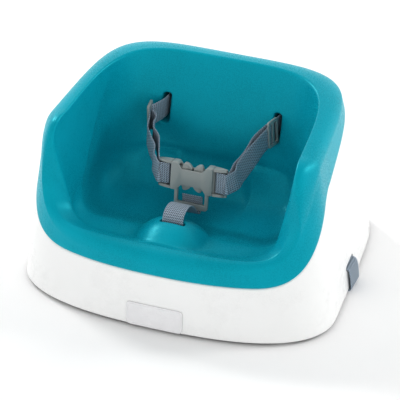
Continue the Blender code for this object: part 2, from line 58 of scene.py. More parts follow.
# The base's outline: its middle, its reach at the floor, how that shrinks with height, and its roundness
SHAPE_Y = -0.0627
HALF_WIDTH = 0.1875
FRONT_DEPTH = 0.0972
REAR_DEPTH = 0.2226
SIDE_TAPER = 0.13
FRONT_TAPER = 0.07
REAR_TAPER = 0.24
PLAN_TAPER = 0.5
FRONT_POWER = (2.5, 2.0)
REAR_POWER = (8.0, 5.45)
POWER_HEIGHT = 0.2

# Plans: half width, depth in front, depth behind, roundness in front, roundness behind
DECK_PLAN = (0.146, 0.066, 0.150, 2.6, 4.5)
RIM_PLAN = (0.1398, 0.0742, 0.1456, 4.41, 4.18)
WALL_FOOT_PLAN = (0.126, 0.063, 0.108, 3.4, 4.6)
FLOOR_PLAN = (0.097, 0.044, 0.080, 2.8, 3.2)

# Heights in front, at the arms and at the rear, and where along Y they change
EDGE_HEIGHTS = (0.073, 0.160, 0.211)
EDGE_RISE = (-0.0786, 0.0278, 0.2026)
RIM_HEIGHTS = (0.1006, 0.2104, 0.225)
RIM_RISE = (-0.080, -0.0405, -0.002, 0.1456)
SHOULDER_RISE = (-0.085, 0.004, 0.1456)

BASE_BOTTOM = 0.004
DECK_Z = 0.052
DECK_CORNER = 0.012
LEDGE = 0.014
EDGE_ROUND = (0.0012, 0.003)
RIM_SPREAD = (0.0026, 0.020)
RIM_DROP = 0.016
SHOULDER_ROLL = 0.86
APRON_OUT = 0.0010
APRON_LIP = 0.0016
CREST_ROUND = (0.0008, 0.0034)
FILLET_HEIGHTS = (0.006, 0.036)
FILLET_RUN = (-0.060, 0.0)
WALL_SPACING = 1.1
FLOOR_Z = 0.081
LEG_RISE = 0.009
LEG_RUN = (-0.04, 0.06)

# The mound between the legs: top, half width, where it drops in front and behind, and how its sides fall
POMMEL = (0.1110, 0.049, -0.104, -0.094)
POMMEL_ACROSS = (0.034, 2.6)
POMMEL_AHEAD = (0.013, 0.032, 1.6)
POMMEL_BEHIND = (0.034, 0.036, 1.8)
POMMEL_EDGE = 0.005

# The ledges beside the hips: top, front edge, where they start and end across, and their slopes
BOLSTER = (0.1120, 0.0385, 0.030, 0.050)
BOLSTER_FACE = (0.031, 0.014)
BOLSTER_HOLLOW = (0.034, 0.012)
BOLSTER_EDGE = 0.003

# The sunk bowl behind the thighs: reach, depth and run, and where it fades out
SCOOP = (0.175, 0.0080, 0.016)
SCOOP_EDGE = 0.001
SCOOP_BELOW_RIM = (0.003, 0.022)
SCOOP_REAR = (0.010, 0.045)
SCOOP_FRONT = (-0.105, -0.080)

# Slots, webbing, buckles and feet
WAIST_SLOT = Vector((0.0685, 0.061, 0.158))
CROTCH_SLOT = Vector((0, -0.098, 0.111))
WEB_WIDTH = 0.025
WEB_THICK = 0.0014
RIB_PITCH = 0.0027
PICK_PITCH = 0.0016
TWILL_PITCH = 0.0025
BUCKLE = Vector((0, -0.033, 0.131))
BUCKLE_TILT = math.radians(-10)
CHAIR_SLOT = Vector((0.177, 0.005, 0.031))
CHAIR_WEB = 0.028
CHAIR_BUCKLE = Vector((0, 0.005, 0.013))
FOOT_RADIUS = 0.0105
FOOT_INSET = 0.015
FOOT_ANGLES = (-24, 43, 137, 204)
FOOT_NAMES = ("front_right", "rear_right", "rear_left", "front_left")
BOSS = (0.0015, 0.0065, 0.018)
BADGE = (0.034, 0.0145, 0.019)
BADGE_CORNER = 0.005
BADGE_THICK = 0.0012

# Fineness
AROUND = 320
FINE_AROUND = 5760
TYPICAL_Z = 0.1
SETTLING_STEPS = 24

# Light and camera
FLOOR_HALF = 6.0
SKY_HORIZON = 1.44
SKY_TOP = 0.60
CONTRAST = 0.78
LAMP_SIDE = 0.45
LAMP_AIM = Vector((0, -0.02, 0.10))
LAMPS = (
    ("key_left", Vector((-1.60, 0.70, 1.60)), 15.0),
    ("rear_right", Vector((1.7, 0.9, 1.4)), 11.0),
)
CAMERA_AZIMUTH = math.radians(21.23)
CAMERA_ELEVATION = math.radians(33.01)
CAMERA_ROLL = math.radians(-0.53)
CAMERA_DISTANCE = 3.3492
CAMERA_TARGET = Vector((0.01803, -0.0584, 0.11965))
SENSOR_WIDTH = 36.0
FOCAL_LENGTH = 265.7079


# ===== Shape of the shell and the seat
def outline(angle, plan):
    """Plan position of a rounded oblong whose front and rear halves differ, narrowed towards the rear."""
    half, front, rear, n_front, n_rear = plan
    c = np.abs(np.cos(angle))
    s = np.sin(angle)
    depth = np.where(s < 0, front, rear)
    n = np.where(s < 0, n_front, n_rear)
    r = ((c / half) ** n + (np.abs(s) / depth) ** n) ** (-1 / n)
    y = r * s
    return r * np.cos(angle) * (1 - PLAN_TAPER * y), y


def base_plan(z, inset=0.0):
    """The base's outline at this height, drawn in by inset."""
    share = z / POWER_HEIGHT
    n_front = FRONT_POWER[0] + (FRONT_POWER[1] - FRONT_POWER[0]) * share
    n_rear = REAR_POWER[0] + (REAR_POWER[1] - REAR_POWER[0]) * share
    half = HALF_WIDTH - SIDE_TAPER * z - inset
    return half, FRONT_DEPTH - FRONT_TAPER * z - inset, REAR_DEPTH - REAR_TAPER * z - inset, n_front, n_rear


def smooth_step(value, start, end):
    t = np.clip((value - start) / (end - start), 0, 1)
    return t * t * (3 - 2 * t)


def rising(y, heights, rise):
    """A height that steps up from the front to the arms and then climbs evenly to the rear."""
    front, arm, rear = heights
    start, knee, end = rise
    climb = np.clip((y - knee) / (end - knee), 0, 1)
    return front + (arm - front) * smooth_step(y, start, knee) + (rear - arm) * climb


def at(angle, plan, z):
    """Points on an outline at a height, in the part's frame."""
    x, y = outline(angle, plan)
    return np.stack([x, y + SHAPE_Y, np.broadcast_to(z, x.shape)], axis=-1)


def rim_curve(angle):
    """The rim's inner edge: low in front, a steep rounded step up to the arms, then level to the rear."""
    x, y = outline(angle, RIM_PLAN)
    front, arm, rear = RIM_HEIGHTS
    start, middle, knee, end = RIM_RISE
    half = 0.5 * (arm - front)
    lower = np.clip((y - start) / (middle - start), 0, 1)
    upper = np.clip((knee - y) / (knee - middle), 0, 1)
    climb = np.clip((y - knee) / (end - knee), 0, 1)
    step = front + half * (1 - np.sqrt(1 - lower**2))
    level = arm - half * (1 - np.cbrt(1 - upper**3)) + (rear - arm) * climb
    z = np.where(y < middle, step, level)
    spread, reach = RIM_SPREAD
    x = x + np.sign(x) * spread * np.exp(-(((y - middle) / reach) ** 2))
    return np.stack([x, y + SHAPE_Y, z], axis=-1)


def step_lengths(points):
    return np.linalg.norm(np.diff(points, axis=0), axis=1)


def even_angles(count):
    """Angles at even steps along the rim and the outline together."""
    fine = np.linspace(-math.pi / 2, 1.5 * math.pi, FINE_AROUND)
    points = np.stack(outline(fine, base_plan(TYPICAL_Z)), axis=-1)
    steps = step_lengths(points) + step_lengths(rim_curve(fine))
    run = np.concatenate([[0], np.cumsum(steps)])
    return np.interp(np.arange(count) * run[-1] / count, run, fine)


ANGLES = even_angles(AROUND)


def heights_on_side(z, heights, rise):
    """The rising line's heights on the sloping side, settled step by step from a first guess."""
    for _ in range(SETTLING_STEPS):
        y = outline(ANGLES, base_plan(z))[1]
        z = 0.5 * z + 0.5 * rising(y, heights, rise)
    return z


EDGE_Z = heights_on_side(np.full(AROUND, sum(EDGE_HEIGHTS) / 3), EDGE_HEIGHTS, EDGE_RISE)


def shoulder_heights():
    """Height at which the outer side starts to roll over to the rim; it climbs later than the rim does."""
    heights = [h - RIM_DROP for h in RIM_HEIGHTS]
    return heights_on_side(EDGE_Z + 0.02, heights, SHOULDER_RISE)


def lerp(a, b, share):
    return a + (b - a) * share


def with_z(points, z):
    """The same points at another height."""
    return np.concatenate([points[:, :2], np.broadcast_to(z, len(points))[:, None]], axis=1)


def smooth_max(a, b, blend):
    """The larger of two values, rounded where they cross."""
    return 0.5 * (a + b + np.sqrt((a - b) ** 2 + blend**2))


def floor_z(points):
    """Height of the seat's floor, which rises towards the knees, without the pommel and the hip ledges."""
    y = points[:, 1] - SHAPE_Y
    return FLOOR_Z + LEG_RISE * (1 - smooth_step(y, *LEG_RUN))


def falling(distance, depth, reach, power):
    """How far a rounded side has dropped at this distance from its top."""
    return depth * (np.maximum(distance, 0) / reach) ** power


def pommel(x, y):
    """Top of the mound between the legs: it runs out to the front rim and drops away at the rear."""
    top, half, front, rear = POMMEL
    depth, power = POMMEL_ACROSS
    across = falling(np.abs(x), depth, half, power)
    ahead = falling(front - y, *POMMEL_AHEAD)
    behind = falling(y - rear, *POMMEL_BEHIND)
    return top - across - ahead - behind


def hip_ledges(x, y):
    """Top of the ledges beside the hips, with a slope in front of them and a hollow between them."""
    top, front, inner, outer = BOLSTER
    drop, run = BOLSTER_FACE
    ahead = 0.5 * (front - y + np.sqrt((front - y) ** 2 + BOLSTER_EDGE**2))
    face = drop * (1 - np.exp(-ahead / run))
    depth, slope = BOLSTER_HOLLOW
    between = depth * (1 - smooth_step(np.abs(x), inner - slope, outer))
    return top - face - between


def grid_normals(rows):
    """Unit normals of a closed grid of rows, each a ring of points, turned towards the seat's hollow."""
    grid = np.stack(rows)
    down = np.gradient(grid, axis=0)
    sideways = np.roll(grid, -1, axis=1) - np.roll(grid, 1, axis=1)
    normal = np.cross(down, sideways)
    return -normal / np.linalg.norm(normal, axis=2, keepdims=True)


def apron_rows(shoulder):
    """Rings up the seat's outer skin, from the apron's rounded lower edge to the shoulder."""
    low = EDGE_Z + GAP
    rows = []
    for turn in np.linspace(-math.pi / 2, 0, 5):
        z = low + APRON_LIP * (1 + math.sin(turn))
        inset = -APRON_OUT + APRON_LIP * (1 - math.cos(turn))
        rows.append(at(ANGLES, base_plan(z, inset), z))
    for share in np.linspace(0, 1, 9)[1:-1]:
        z = low + APRON_LIP + (shoulder - low - APRON_LIP) * share
        rows.append(at(ANGLES, base_plan(z, -APRON_OUT), z))
    return rows


def crest_rows(shoulder, rim, inner):
    """Rings that roll over the shoulder to the rim and bend down into the seat."""
    outer = at(ANGLES, base_plan(shoulder, -APRON_OUT), shoulder)
    top = rim[:, 2] - CREST_ROUND[0]
    rows = []
    for turn in np.linspace(0, math.pi / 2, 15):
        point = lerp(outer, rim, SHOULDER_ROLL * (1 - math.cos(turn)))
        rows.append(with_z(point, shoulder + (top - shoulder) * math.sin(turn)))
    last = rows[-1]
    for t in np.linspace(0, 1, 7)[1:]:
        rows.append((1 - t) ** 2 * last + 2 * t * (1 - t) * rim + t * t * inner)
    return rows


def inside_rows(inner, start, foot):
    """Rings down the inner wall, round the fillet at its foot and over the floor to its middle."""
    rows = []
    for share in np.linspace(0, 1, 27)[1:]:
        rows.append(lerp(inner, start, share**WALL_SPACING))
    for share in np.linspace(0, 1, 17)[1:]:
        turn = share * math.pi / 2
        point = lerp(start, foot, 1 - math.cos(turn))
        rows.append(with_z(point, start[:, 2] + (foot[:, 2] - start[:, 2]) * math.sin(turn)))
    middle = np.array([0, SHAPE_Y, 0.0])
    for share in np.linspace(1, 0, 27)[1:]:
        point = lerp(middle, foot, 0.03 + 0.97 * share)
        rows.append(with_z(point, floor_z(point)))
    return rows


def raise_forms(rows):
    """Lifts the pommel and the hip ledges out of the inside, fading in below the rim."""
    raised = []
    for number, point in enumerate(rows, 1):
        x, y, z = point.T
        lifted = smooth_max(z, pommel(x, y), POMMEL_EDGE)
        lifted = smooth_max(lifted, hip_ledges(x, y), BOLSTER_EDGE)
        share = smooth_step(np.array(float(number)), 0.0, 6.0)
        raised.append(with_z(point, lerp(z, lifted, share)))
    return raised


def seat_rows():
    """Rings from the apron's edge over the rim and down the inside to the floor's middle."""
    rim = rim_curve(ANGLES)
    shoulder = shoulder_heights()
    foot = at(ANGLES, FLOOR_PLAN, 0.0)
    foot = with_z(foot, floor_z(foot))
    start = at(ANGLES, WALL_FOOT_PLAN, 0.0)
    tall = lerp(*FILLET_HEIGHTS, smooth_step(start[:, 1] - SHAPE_Y, *FILLET_RUN))
    start = with_z(start, foot[:, 2] + tall)
    down = start - rim
    down = down / np.linalg.norm(down, axis=1, keepdims=True)
    inner = rim + down * CREST_ROUND[1]
    rows = apron_rows(shoulder) + crest_rows(shoulder, rim, inner)
    raised = raise_forms(inside_rows(inner, start, foot))
    normal = grid_normals([rows[-1]] + raised)[1:]
    for point, out in zip(raised, normal):
        rows.append(point - out * scoop(point, rim[:, 2])[:, None])
    return rows


def scoop(point, rim_z):
    """How deep the bowl behind the thighs is sunk below the smooth inside."""
    reach, depth, run = SCOOP
    y = point[:, 1]
    z = point[:, 2]
    behind = (y + reach - z) / math.sqrt(2)
    soft = SCOOP_EDGE * np.logaddexp(0, behind / SCOOP_EDGE)
    sunk = depth * (1 - np.exp(-soft / run))
    below_rim = smooth_step(rim_z - z, *SCOOP_BELOW_RIM)
    rear = 1 - smooth_step(y, *SCOOP_REAR)
    front = smooth_step(y, *SCOOP_FRONT)
    return sunk * below_rim * rear * front


def basin_rows(grow, lift):
    """The base's inner wall from its ledge to the deck; grow moves it out and lift moves it up."""
    top = at(ANGLES, base_plan(EDGE_Z, LEDGE - grow), EDGE_Z)
    half, front, rear, n_front, n_rear = DECK_PLAN
    low = at(ANGLES, (half + grow, front + grow, rear + grow, n_front, n_rear), DECK_Z)
    rows = [with_z(top, top[:, 2] + lift)]
    for share in (0.02, 0.2, 0.4, 0.6, 0.8, 0.9):
        rows.append(lerp(top, low, share))
    start = rows[-1]
    turn = with_z(low, DECK_Z + lift)
    corner_plan = (half - DECK_CORNER, front - DECK_CORNER, rear - DECK_CORNER, n_front, n_rear)
    corner = at(ANGLES, corner_plan, DECK_Z + lift)
    for t in np.linspace(0, 1, 6)[1:]:
        rows.append((1 - t) ** 2 * start + 2 * t * (1 - t) * turn + t * t * corner)
    middle = np.array([0, SHAPE_Y, DECK_Z + lift])
    for share in (0.8, 0.55, 0.3, 0.1):
        rows.append(lerp(middle, corner, share))
    return rows


def closed_grid(name, upper, lower, middle_z):
    """Two stacks of rings joined along their first ring, each closed at a middle point."""
    stacks = (upper, lower)
    middles = np.array([[0, SHAPE_Y, z] for z in middle_z])
    verts = np.concatenate([np.concatenate(rows) for rows in stacks] + [middles])
    n = AROUND
    k = np.arange(n)
    nxt = (k + 1) % n
    starts = (0, len(upper) * n)
    centre = (len(upper) + len(lower)) * n
    faces = []
    for which, rows in enumerate(stacks):
        first = starts[which]
        for r in range(len(rows) - 1):
            a = first + r * n
            quad = np.stack([a + k, a + nxt, a + n + nxt, a + n + k], axis=1)
            faces += (quad if which == 0 else quad[:, ::-1]).tolist()
        a = first + (len(rows) - 1) * n
        fan = np.stack([a + k, a + nxt, np.full(n, centre + which)], axis=1)
        faces += (fan if which == 0 else fan[:, ::-1]).tolist()
    faces += np.stack([starts[1] + k, starts[1] + nxt, nxt, k], axis=1).tolist()
    mesh = bpy.data.meshes.new(name)
    mesh.from_pydata(verts.tolist(), [], faces)
    mesh.validate()
    return mesh


# ===== Small building blocks
SQUARE = ((-1, -1), (1, -1), (1, 1), (-1, 1))
SIDES = ((1, "right"), (-1, "left"))


def shade(mesh, sharp):
    """Smooth shading that keeps the edges where faces meet at more than sharp degrees."""
    mesh.shade_smooth()
    if sharp:
        mesh.set_sharp_from_angle(angle=math.radians(sharp))


def add_object(name, mesh, look, sharp=35):
    made = bpy.data.objects.new(name, mesh)
    bpy.context.scene.collection.objects.link(made)
    mesh.materials.clear()
    mesh.materials.append(look)
    shade(mesh, sharp)
    return made


def stand_for(made, node, body):
    """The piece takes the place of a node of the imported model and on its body."""
    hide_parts(node)
    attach(made, body)


def apply_modifiers(made, sharp=35):
    """The object's evaluated mesh becomes its own, and its modifiers go."""
    graph = bpy.context.evaluated_depsgraph_get()
    graph.update()
    mesh = bpy.data.meshes.new_from_object(made.evaluated_get(graph))
    made.modifiers.clear()
    made.data = mesh
    shade(mesh, sharp)


def mesh_from(build):
    work = bmesh.new()
    build(work)
    bmesh.ops.recalc_face_normals(work, faces=work.faces)
    mesh = bpy.data.meshes.new("mesh")
    work.to_mesh(mesh)
    work.free()
    return mesh


def box_mesh(size, place):
    def build(work):
        bmesh.ops.create_cube(work, size=1)
        bmesh.ops.scale(work, vec=size, verts=work.verts)
        bmesh.ops.translate(work, vec=place, verts=work.verts)

    return mesh_from(build)


def ring_mesh(rings):
    """A closed solid through rings that all have the same number of points."""

    def build(work):
        made = [[work.verts.new(p) for p in ring] for ring in rings]
        work.faces.new(made[0])
        work.faces.new(made[-1][::-1])
        for one, two in zip(made, made[1:]):
            for k in range(len(one)):
                j = (k + 1) % len(one)
                work.faces.new((one[k], two[k], two[j], one[j]))

    return mesh_from(build)


def slab_mesh(points, low, high, axis):
    """An outline in the two other axes, extruded from low to high along X, Y or Z."""
    spots = {0: lambda u, v, w: (w, u, v), 1: lambda u, v, w: (u, w, v), 2: lambda u, v, w: (u, v, w)}[axis]
    return ring_mesh([[spots(u, v, w) for u, v in points] for w in (low, high)])


def rounded_outline(corners, radius, steps=5):
    """The closed outline with each corner rounded."""
    made = []
    corners = [Vector(c) for c in corners]
    for before, corner, after in zip(corners[-1:] + corners[:-1], corners, corners[1:] + corners[:1]):
        one = (before - corner).normalized()
        two = (after - corner).normalized()
        reach = min(radius, 0.45 * (before - corner).length, 0.45 * (after - corner).length)
        start = corner + one * reach
        end = corner + two * reach
        for t in np.linspace(0, 1, steps):
            made.append(tuple((1 - t) ** 2 * start + 2 * t * (1 - t) * corner + t * t * end))
    return made


def rectangle(half_u, half_v, radius, centre=(0, 0), steps=5):
    """A rounded rectangle about its centre."""
    u, v = centre
    return rounded_outline([(u + p * half_u, v + q * half_v) for p, q in SQUARE], radius, steps)


def with_boolean(made, mesh, operation):
    """Joins a solid to the object or cuts it away."""
    tool = bpy.data.objects.new("tool", mesh)
    bpy.context.scene.collection.objects.link(tool)
    step = made.modifiers.new(operation, "BOOLEAN")
    step.operation = operation
    step.solver = "EXACT"
    step.object = tool
    apply_modifiers(made)
    bpy.data.objects.remove(tool)


def moulded(name, solids, cuts, bevel, segments=3, place=None):
    """A piece of grey plastic: the union of its solids less its cuts, with every hard edge rounded."""
    made = add_object(name, solids[0], LOOKS["grey"], sharp=None)
    for mesh in solids[1:]:
        with_boolean(made, mesh, "UNION")
    for mesh in cuts:
        with_boolean(made, mesh, "DIFFERENCE")
    step = made.modifiers.new("round", "BEVEL")
    step.width = bevel
    step.segments = segments
    step.limit_method = "ANGLE"
    step.angle_limit = math.radians(32)
    step.harden_normals = True
    apply_modifiers(made, 50)
    if place is not None:
        made.data.transform(place)
    return made


def curve_through(points, count):
    """Evenly spaced points on a smooth curve through the given ones."""
    points = np.array(points, float)
    ends = np.vstack([2 * points[0] - points[1], points, 2 * points[-1] - points[-2]])
    fine = []
    for a, b, c, d in zip(ends, ends[1:], ends[2:], ends[3:]):
        bend = 2 * a - 5 * b + 4 * c - d
        twist = 3 * b - a - 3 * c + d
        for t in np.arange(24) / 24:
            fine.append(0.5 * (2 * b + (c - a) * t + bend * t * t + twist * t**3))
    fine = np.array(fine + [points[-1]])
    run = np.concatenate([[0], np.cumsum(step_lengths(fine))])
    wanted = np.linspace(0, run[-1], count)
    return np.stack([np.interp(wanted, run, fine[:, i]) for i in range(3)], axis=1), run[-1]


def webbing(name, points, sides, count, width=WEB_WIDTH):
    """A woven strip along a path. sides gives the direction of its width at each of the path's points."""
    path, length = curve_through(points, count)
    steps = step_lengths(np.array(points, float))
    where = np.concatenate([[0], np.cumsum(steps)]) / steps.sum()
    share = np.linspace(0, 1, count)
    rows = np.array([np.array(s, float) / np.linalg.norm(s) for s in sides])
    side = np.stack([np.interp(share, where, rows[:, i]) for i in range(3)], axis=1)
    along = np.gradient(path, axis=0)
    along /= np.linalg.norm(along, axis=1, keepdims=True)
    side -= along * (side * along).sum(1)[:, None]
    side /= np.linalg.norm(side, axis=1, keepdims=True)
    face = np.cross(along, side)
    half = width / 2
    across = np.concatenate([[-1], np.linspace(-0.97, 0.97, 9), [1]]) * half
    depth = np.concatenate([[0.25], [0.8], np.full(7, 1.0), [0.8], [0.25]]) * WEB_THICK / 2
    ring = [(u, d) for u, d in zip(across, depth)] + [(u, -d) for u, d in zip(across[::-1], depth[::-1])]
    verts = []
    for p, s, f in zip(path, side, face):
        verts += [p + s * u + f * d for u, d in ring]
    n = len(ring)
    faces = []
    coords = []
    for i in range(count - 1):
        for k in range(n):
            j = (k + 1) % n
            faces.append((i * n + k, i * n + j, (i + 1) * n + j, (i + 1) * n + k))
            v0 = i / (count - 1) * length
            v1 = (i + 1) / (count - 1) * length
            coords += [(ring[k][0], v0), (ring[j][0], v0), (ring[j][0], v1), (ring[k][0], v1)]
    faces.append(tuple(range(n))[::-1])
    coords += [(ring[k][0], 0) for k in range(n)][::-1]
    faces.append(tuple((count - 1) * n + k for k in range(n)))
    coords += [(ring[k][0], length) for k in range(n)]
    mesh = bpy.data.meshes.new(name)
    mesh.from_pydata([tuple(v) for v in verts], [], faces)
    layer = mesh.uv_layers.new(name="weave")
    layer.data.foreach_set("uv", np.array(coords, np.float32).ravel())
    return add_object(name, mesh, LOOKS["web"], sharp=60)


# ===== Materials
class Nodes:
    """A material's node tree, with short calls to add nodes and link them."""

    def __init__(self, name):
        self.material = bpy.data.materials.new(name)
        self.material.use_nodes = True
        self.tree = self.material.node_tree
        self.shader = self.tree.nodes["Principled BSDF"]

    def add(self, kind, values=(), **settings):
        node = self.tree.nodes.new(kind)
        for key, value in settings.items():
            setattr(node, key, value)
        for socket, value in values:
            self.put(node.inputs[socket], value)
        return node

    def put(self, socket, value):
        if hasattr(value, "is_output"):
            self.tree.links.new(value, socket)
        else:
            socket.default_value = value

    def math(self, operation, *values):
        return self.add("ShaderNodeMath", list(enumerate(values)), operation=operation).outputs[0]

    def noise(self, vector, scale, detail=3.0, roughness=0.55):
        values = [("Vector", vector), ("Scale", scale), ("Detail", detail), ("Roughness", roughness)]
        return self.add("ShaderNodeTexNoise", values).outputs["Fac"]

    def spread(self, value, low, high, from_low=0.3, from_high=0.7):
        values = list(enumerate([value, from_low, from_high, low, high]))
        return self.add("ShaderNodeMapRange", values).outputs["Result"]

    def mix(self, share, one, two):
        node = self.tree.nodes.new("ShaderNodeMix")
        node.data_type = "RGBA"
        self.put(node.inputs[0], share)
        self.put(node.inputs[6], one)
        self.put(node.inputs[7], two)
        return node.outputs[2]

    def bump(self, height, strength, distance, normal=None):
        values = [("Strength", strength), ("Distance", distance), ("Height", height)]
        if normal is not None:
            values.append(("Normal", normal))
        return self.add("ShaderNodeBump", values).outputs["Normal"]

    def finish(self, colour, roughness, normal, specular=0.5, **constants):
        self.put(self.shader.inputs["Base Color"], colour)
        self.put(self.shader.inputs["Roughness"], roughness)
        self.put(self.shader.inputs["Normal"], normal)
        self.shader.inputs["Specular IOR Level"].default_value = specular
        for name, value in constants.items():
            self.shader.inputs[name.replace("_", " ")].default_value = value
        return self.material


def tint(colour, factor):
    return (*[min(c * factor, 1) for c in colour], 1)


def foam_material():
    """Skinned foam: an even colour, fine pores under a satin skin, and faint cloudy patches of gloss."""
    colour = (0.0010, 0.345, 0.440)
    n = Nodes("teal_foam_skin")
    place = n.add("ShaderNodeTexCoord").outputs["Object"]
    cloud = n.noise(place, 14.0, 4.0)
    pores = n.noise(place, 950.0, 2.0, 0.6)
    dimple = n.noise(place, 240.0, 3.0, 0.5)
    colour_out = n.mix(n.spread(cloud, 0.0, 1.0), tint(colour, 0.93), tint(colour, 1.06))
    speck = n.spread(pores, 0.0, 0.16, 0.35, 0.75)
    colour_out = n.mix(speck, colour_out, tint((0.004, 0.42, 0.52), 1))
    rough = n.math("ADD", n.spread(cloud, 0.24, 0.31), n.spread(pores, -0.05, 0.08))
    normal = n.bump(pores, 0.45, 0.0005)
    normal = n.bump(dimple, 0.16, 0.0006, normal)
    return n.finish(
        colour_out,
        rough,
        normal,
        0.8,
        Specular_Tint=(0.10, 0.95, 1, 1),
        Sheen_Weight=0.15,
        Sheen_Roughness=0.45,
        Sheen_Tint=(0.05, 0.9, 1, 1),
    )


def plastic_material(name, colour, rough, grain, speckle, specular=0.5):
    """Moulded plastic with a fine grain and slightly uneven gloss."""
    n = Nodes(name)
    place = n.add("ShaderNodeTexCoord").outputs["Object"]
    cloud = n.noise(place, 22.0, 4.0)
    fine = n.noise(place, 1500.0, 2.0)
    colour_out = n.mix(n.spread(cloud, 0.0, 1.0), tint(colour, 1 - speckle), tint(colour, 1 + speckle))
    roughness = n.math("ADD", n.spread(cloud, rough - 0.05, rough + 0.05), n.spread(fine, -0.03, 0.03))
    normal = n.bump(fine, grain, 0.0002)
    normal = n.bump(cloud, 0.05, 0.0010, normal)
    return n.finish(colour_out, roughness, normal, specular)


def webbing_material(name, colour):
    """Narrow ribs across the strip, each made of small slanting stitches, with lighter edges; the colour is
    painted darker in the grooves of the weave and lighter on its ridges, as painted shade and painted
    highlight.
    """
    n = Nodes(name)
    uv = n.add("ShaderNodeUVMap", uv_map="weave").outputs["UV"]
    split = n.add("ShaderNodeSeparateXYZ", [(0, uv)])
    u = split.outputs["X"]
    v = split.outputs["Y"]
    place = n.add("ShaderNodeTexCoord").outputs["Object"]
    turn = 2 * math.pi
    slant = n.math("ADD", n.math("MULTIPLY", u, 0.9), v)
    rib = n.math("SINE", n.math("MULTIPLY", v, turn / RIB_PITCH))
    pick = n.math("SINE", n.math("MULTIPLY", u, turn / PICK_PITCH))
    twill = n.math("SINE", n.math("MULTIPLY", slant, turn / TWILL_PITCH))
    weave = n.math("ADD", n.math("MULTIPLY", rib, 0.35), n.math("MULTIPLY", pick, 0.25))
    weave = n.math("ADD", weave, n.math("MULTIPLY", twill, 0.55))
    edge = n.math("GREATER_THAN", n.math("ABSOLUTE", u), WEB_WIDTH * 0.455)
    fuzz = n.noise(place, 2600.0, 2.0)
    height = n.math("ADD", n.spread(weave, 0.0, 1.0, -1.0, 1.0), n.math("MULTIPLY", fuzz, 0.3))
    # Painted shade and painted highlight: the weave's relief height darkens the colour in the grooves and
    # lightens it on the ribs
    shade = n.spread(height, 0.0, 1.0, 0.30, 0.90)
    colour_out = n.mix(shade, tint(colour, 0.36), tint(colour, 1.55))
    colour_out = n.mix(n.math("MULTIPLY", edge, 0.35), colour_out, tint(colour, 1.45))
    normal = n.bump(height, 0.9, 0.0009)
    return n.finish(colour_out, n.spread(fuzz, 0.66, 0.86), normal, 0.35, Sheen_Weight=0.12)


LOOKS = {
    "foam": foam_material(),
    "white": plastic_material("white_shell", (0.86, 0.865, 0.86), 0.30, 0.05, 0.012),
    "badge": plastic_material("badge_plate", (0.80, 0.80, 0.81), 0.24, 0.04, 0.02),
    "grey": plastic_material("grey_buckle", (0.330, 0.355, 0.350), 0.40, 0.22, 0.05),
    "rubber": plastic_material("grey_foot", (0.32, 0.32, 0.32), 0.75, 0.5, 0.08, 0.3),
    "web": webbing_material("grey_webbing_weave_painted_shade", (0.290, 0.345, 0.405)),
}


# ===== Seat and base
def surface_tree(mesh):
    return BVHTree.FromPolygons([v.co for v in mesh.vertices], [tuple(p.vertices) for p in mesh.polygons])


SLOT_ABOVE = 0.012
WAIST_MOUTH = (0.0048, 0.0175)
WAIST_POCKET = (0.022, 0.060, 0.052)
CROTCH_MOUTH = (0.0145, 0.0028)
CROTCH_POCKET = (0.050, 0.022, 0.060)


def slot_cutter(tree, centre, half, axes, lip, depth):
    """A cutter for a slot whose mouth is rounded into the surface that it starts from.

    axes are the slot's two half directions and the direction that it goes in.
    """
    u_axis, v_axis, inward = [Vector(a).normalized() for a in axes]
    rings = []
    turns = np.linspace(0, math.pi / 2, 6)
    mouth = [(lip * (1 - math.sin(t)), lip * (1 - math.cos(t))) for t in turns]
    for grow, sink in [(lip, -SLOT_ABOVE)] + mouth + [(0.0, depth)]:
        ring = []
        radius = min(half) * 0.98 + grow
        for u, v in rectangle(half[0] + grow, half[1] + grow, radius, steps=9):
            spot = Vector(centre) + u_axis * u + v_axis * v
            hit = tree.ray_cast(spot - inward * 0.05, inward)[0]
            ring.append((hit if hit is not None else spot) + inward * sink)
        rings.append(ring)
    return ring_mesh(rings)


def make_seat():
    upper = seat_rows()
    low = EDGE_Z + GAP
    lower = [at(ANGLES, base_plan(low, inset), low) for inset in (0.003, 0.008, LEDGE + GAP)]
    lower += basin_rows(-GAP, GAP)[1:]
    middle = float(upper[-1][:, 2].mean())
    mesh = closed_grid("seat_foam", upper, lower, (middle, DECK_Z + GAP))
    seat = add_object("seat_foam", mesh, LOOKS["foam"])
    tree = surface_tree(mesh)
    for side in (1, -1):
        centre = (side * WAIST_SLOT.x, WAIST_SLOT.y - 0.03, WAIST_SLOT.z)
        axes = ((1, 0, 0), (0, 0.2, 1), (0, 1, 0))
        with_boolean(seat, slot_cutter(tree, centre, WAIST_MOUTH, axes, 0.0022, 0.032), "DIFFERENCE")
        behind = (side * WAIST_SLOT.x, WAIST_SLOT.y + 0.049, WAIST_SLOT.z)
        with_boolean(seat, box_mesh(WAIST_POCKET, behind), "DIFFERENCE")
    centre = (0, CROTCH_SLOT.y, CROTCH_SLOT.z + 0.03)
    axes = ((1, 0, 0), (0, 1, 0), (0, 0, -1))
    with_boolean(seat, slot_cutter(tree, centre, CROTCH_MOUTH, axes, 0.0016, 0.030), "DIFFERENCE")
    with_boolean(seat, box_mesh(CROTCH_POCKET, (0, CROTCH_SLOT.y, 0.067)), "DIFFERENCE")
    shade(seat.data, 50)
    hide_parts("seat_insert")
    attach(seat, "seat")


def foot_places():
    return at(np.radians(FOOT_ANGLES), base_plan(0.0, FOOT_INSET), 0.0)


